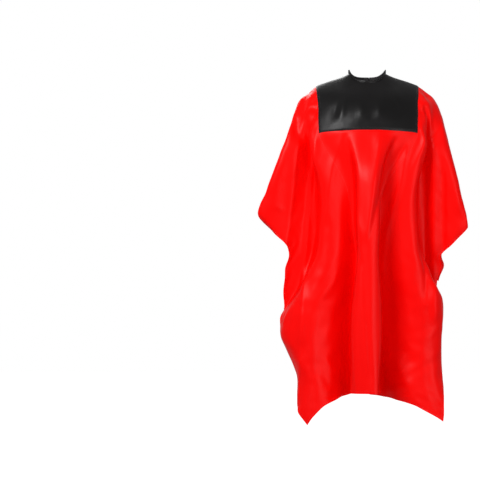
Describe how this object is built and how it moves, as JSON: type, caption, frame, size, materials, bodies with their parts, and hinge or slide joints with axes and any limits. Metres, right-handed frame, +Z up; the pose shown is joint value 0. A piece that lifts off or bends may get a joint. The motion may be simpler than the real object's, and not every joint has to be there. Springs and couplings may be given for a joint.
{
  "type": "barber cape",
  "caption": "Barber cape with a black satin yoke and stand collar, red draped panels over both arms, and a hook-and-loop tab at the nape.",
  "frame": {"origin": "on the axis of the closed collar, at the height of the throat seam", "axes": "+Z up along the neck, the wearer faces -Y, +X towards the wearer's left"},
  "size_m": [0.7498, 0.4564, 1.2017],
  "materials": {
    "collar_facing": "satin",
    "collar_band": "satin",
    "stiffener": "matte",
    "yoke_satin": "satin",
    "yoke_lining": "matte",
    "panel_cloth": "satin",
    "hook_tape": "matte",
    "loop_tape": "matte",
    "label": "satin"
  },
  "bodies": {
    "cape": {"collar_inner": "collar_facing", "collar_interlining": "stiffener", "collar_outer": "collar_band", "tab_root": "collar_band", "loop_tape": "loop_tape", "yoke_outer": "yoke_satin", "yoke_lining": "yoke_lining", "front_panel": "panel_cloth", "side_panel_left": "panel_cloth", "side_panel_right": "panel_cloth", "back_panel_left": "panel_cloth", "back_panel_right": "panel_cloth", "care_label": "label"},
    "tab": {"tab_outer": "collar_band", "tab_inner": "collar_facing", "hook_tape": "hook_tape"}
  },
  "joints": [
    {"name": "tab_peel", "type": "hinge", "parent": "cape", "child": "tab", "pos_m": [0.012, 0.06774, 0], "axis": [0, 0, -1], "range_deg": [0, 150]}
  ]
}
